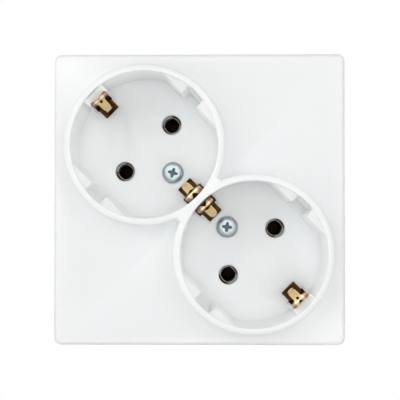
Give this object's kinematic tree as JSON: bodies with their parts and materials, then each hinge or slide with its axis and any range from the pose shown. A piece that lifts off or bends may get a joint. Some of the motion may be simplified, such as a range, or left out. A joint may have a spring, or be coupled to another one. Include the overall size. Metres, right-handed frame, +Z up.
{
  "type": "double type f wall socket",
  "caption": "Flush double earthed wall socket: square white front plate, round wells set on the diagonal, side earth clips, contact block and support ring behind it.",
  "frame": {"origin": "centre of the support ring's screw pattern on the wall plane, behind the middle of the front plate", "axes": "+Y into the wall, -Y towards the room, +Z up, +X to the right seen from the room"},
  "size_m": [0.08, 0.041, 0.08],
  "materials": {
    "white_moulding": "smooth white thermoplastic with a soft gloss",
    "block_moulding": "dark grey moulded insulating block",
    "zinc_steel": "pressed steel with bright zinc plating",
    "screw_steel": "bright zinc-plated screw heads",
    "contact_brass": "stamped contact brass, lightly tarnished",
    "spring_bronze": "spring bronze with pale edges"
  },
  "bodies": {
    "root": {"cover_plate": "white_moulding", "contact_block": "block_moulding", "rear_cover": "block_moulding", "support_ring": "zinc_steel", "earth_bridge": "contact_brass", "rear_cover_screws": "screw_steel", "ring_rivets": "screw_steel", "bar_rivets": "contact_brass", "clip_rivets": "contact_brass", "earth_clamp_plate": "zinc_steel", "earth_terminal_screw": "screw_steel", "cover_screw_upper": "screw_steel", "threaded_bush_upper": "contact_brass", "earth_clip_upper_outer": "spring_bronze", "earth_clip_upper_inner": "spring_bronze", "cover_screw_lower": "screw_steel", "threaded_bush_lower": "contact_brass", "earth_clip_lower_outer": "spring_bronze", "earth_clip_lower_inner": "spring_bronze", "live_bar": "contact_brass", "live_clamp_plate": "zinc_steel", "live_terminal_screw": "screw_steel", "live_receptacle_upper": "contact_brass", "live_receptacle_lower": "contact_brass", "neutral_bar": "contact_brass", "neutral_clamp_plate": "zinc_steel", "neutral_terminal_screw": "screw_steel", "neutral_receptacle_upper": "contact_brass", "neutral_receptacle_lower": "contact_brass"}
  },
  "joints": []
}
